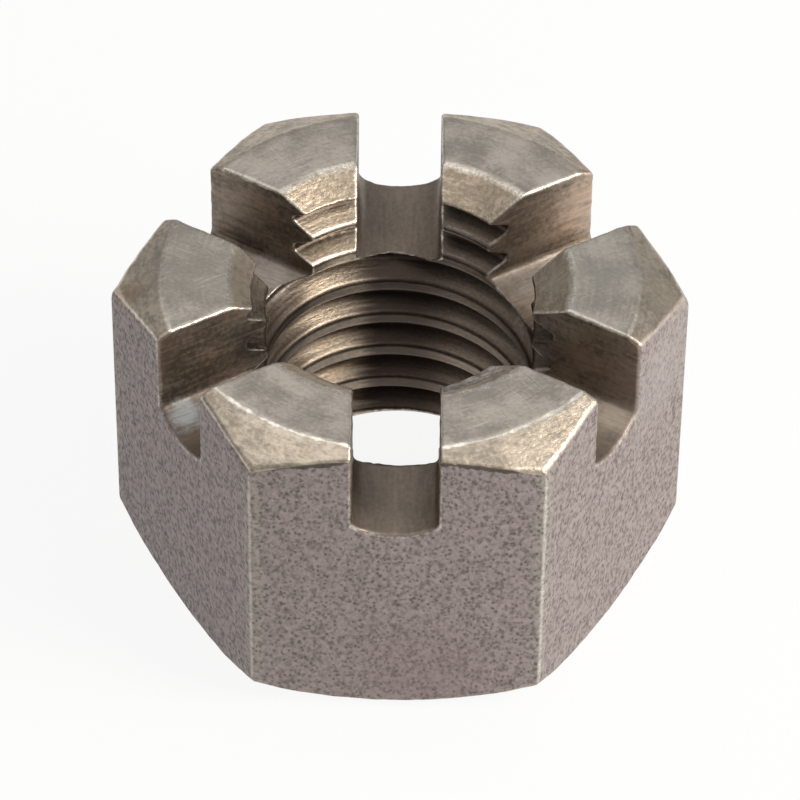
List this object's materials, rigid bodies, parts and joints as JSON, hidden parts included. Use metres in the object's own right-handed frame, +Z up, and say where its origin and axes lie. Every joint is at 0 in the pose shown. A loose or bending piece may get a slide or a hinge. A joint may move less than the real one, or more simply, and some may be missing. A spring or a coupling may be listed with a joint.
{
  "type": "castle nut",
  "caption": "Hexagonal castle nut with a coarse threaded hole, chamfered ends and a slot through the middle of each flat for a split pin.",
  "frame": {"origin": "centre of the bearing face at the foot of the threaded hole, which is the centre of the bottom of the box", "axes": "+Z up the thread axis from the bearing face to the slotted end; +X through a corner of the hexagon and -Y out of the middle of a flat"},
  "size_m": [0.0184, 0.016, 0.0116],
  "materials": {
    "nut_steel": "bare machined steel with a dull, slightly stained scale on the flats"
  },
  "bodies": {
    "root": {"castle_nut": "nut_steel"}
  },
  "joints": []
}
